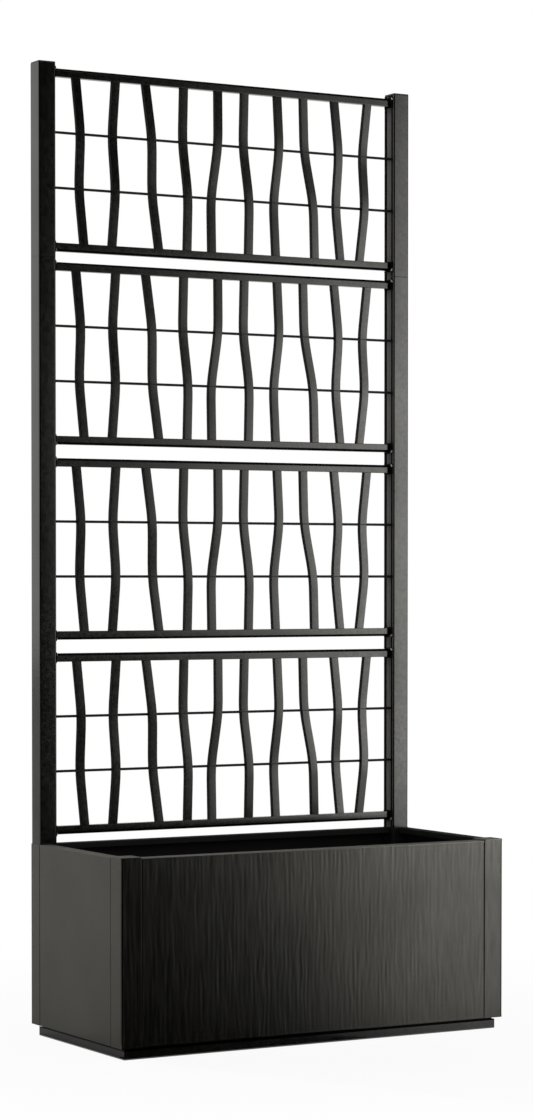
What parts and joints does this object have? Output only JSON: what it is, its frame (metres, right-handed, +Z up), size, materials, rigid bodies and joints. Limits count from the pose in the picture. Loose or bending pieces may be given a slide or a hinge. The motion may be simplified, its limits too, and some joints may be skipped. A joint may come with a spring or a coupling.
{
  "type": "outdoor planter",
  "caption": "Rectangular metal planter box on a recessed plinth, with a tall rear trellis of wavy bars between two posts.",
  "frame": {"origin": "on the ground under the middle of the box", "axes": "+X to the right along the box's length, seen from the front; +Y to the rear, where the trellis stands; +Z up"},
  "size_m": [0.808, 0.366, 1.8],
  "materials": {
    "graphite": "satin powder coat",
    "grained_graphite": "satin powder coat over an embossed wood grain",
    "trellis_graphite": "satin powder coat",
    "post_graphite": "satin powder coat",
    "plinth_black": "matt powder coat",
    "black_plastic": "moulded",
    "zinc_steel": "zinc plated"
  },
  "bodies": {
    "root": {"plinth_front": "plinth_black", "plinth_rear": "plinth_black", "plinth_left": "plinth_black", "plinth_right": "plinth_black", "floor_panel": "graphite", "front_panel": "grained_graphite", "rear_panel": "graphite", "left_panel": "graphite", "right_panel": "graphite", "front_left_column": "graphite", "front_right_column": "graphite", "front_left_column_cap": "graphite", "front_right_column_cap": "graphite", "rear_left_cover": "graphite", "rear_right_cover": "graphite", "left_lower_post": "post_graphite", "right_lower_post": "post_graphite", "left_upper_post": "post_graphite", "right_upper_post": "post_graphite", "left_post_sleeve": "zinc_steel", "right_post_sleeve": "zinc_steel", "left_post_cap": "black_plastic", "right_post_cap": "black_plastic", "trellis_1_top_rail": "trellis_graphite", "trellis_1_bottom_rail": "trellis_graphite", "trellis_1_bars": "trellis_graphite", "trellis_1_rods": "trellis_graphite", "trellis_2_top_rail": "trellis_graphite", "trellis_2_bottom_rail": "trellis_graphite", "trellis_2_bars": "trellis_graphite", "trellis_2_rods": "trellis_graphite", "trellis_3_top_rail": "trellis_graphite", "trellis_3_bottom_rail": "trellis_graphite", "trellis_3_bars": "trellis_graphite", "trellis_3_rods": "trellis_graphite", "trellis_4_top_rail": "trellis_graphite", "trellis_4_bottom_rail": "trellis_graphite", "trellis_4_bars": "trellis_graphite", "trellis_4_rods": "trellis_graphite", "left_collars": "black_plastic", "right_collars": "black_plastic", "collar_screws": "zinc_steel", "sleeve_screws": "zinc_steel", "panel_screws": "zinc_steel", "base_screws": "zinc_steel"}
  },
  "joints": []
}
